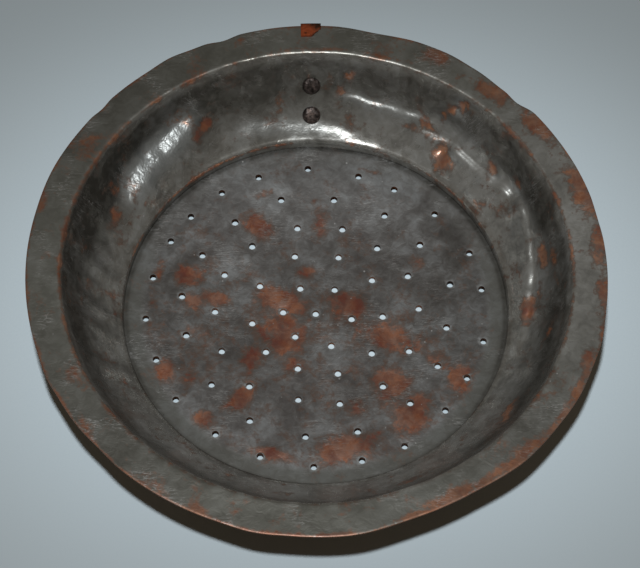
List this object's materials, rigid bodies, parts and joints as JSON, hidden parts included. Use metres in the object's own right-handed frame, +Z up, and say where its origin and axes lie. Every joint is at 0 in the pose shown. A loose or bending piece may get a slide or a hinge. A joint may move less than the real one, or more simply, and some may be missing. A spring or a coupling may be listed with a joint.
{
  "type": "strainer pan",
  "caption": "Round tinned-copper strainer pan with a wide flat rim, a perforated floor set down in a step, and a wire hanging loop on a strap riveted to the wall.",
  "frame": {"origin": "middle of the floor's underside, on the surface that the pan stands on", "axes": "+Z up along the pan's axis, +Y towards the strap and the hanging loop"},
  "size_m": [0.3, 0.3022, 0.0573],
  "materials": {
    "tinned_wall": "worn tin over hammered copper",
    "tinned_floor": "worn tin with bare copper patches",
    "solder": "dull solder",
    "bare_copper": "dull oxidised copper",
    "iron_wire": "dark forged iron",
    "dark_rivet": "dark hammered iron"
  },
  "bodies": {
    "pan": {"bowl_wall": "tinned_wall", "strainer_floor": "tinned_floor", "seam_solder": "solder", "rim_strap": "bare_copper", "loop_clip": "bare_copper", "upper_rivet": "dark_rivet", "lower_rivet": "dark_rivet", "upper_burr": "bare_copper", "lower_burr": "bare_copper"},
    "loop": {"hanging_loop": "iron_wire"}
  },
  "joints": [
    {"name": "loop_swing", "type": "hinge", "parent": "pan", "child": "loop", "pos_m": [0, 0.13433, 0.0434], "axis": [1, 0, 0], "range_deg": [-30, 120]}
  ]
}
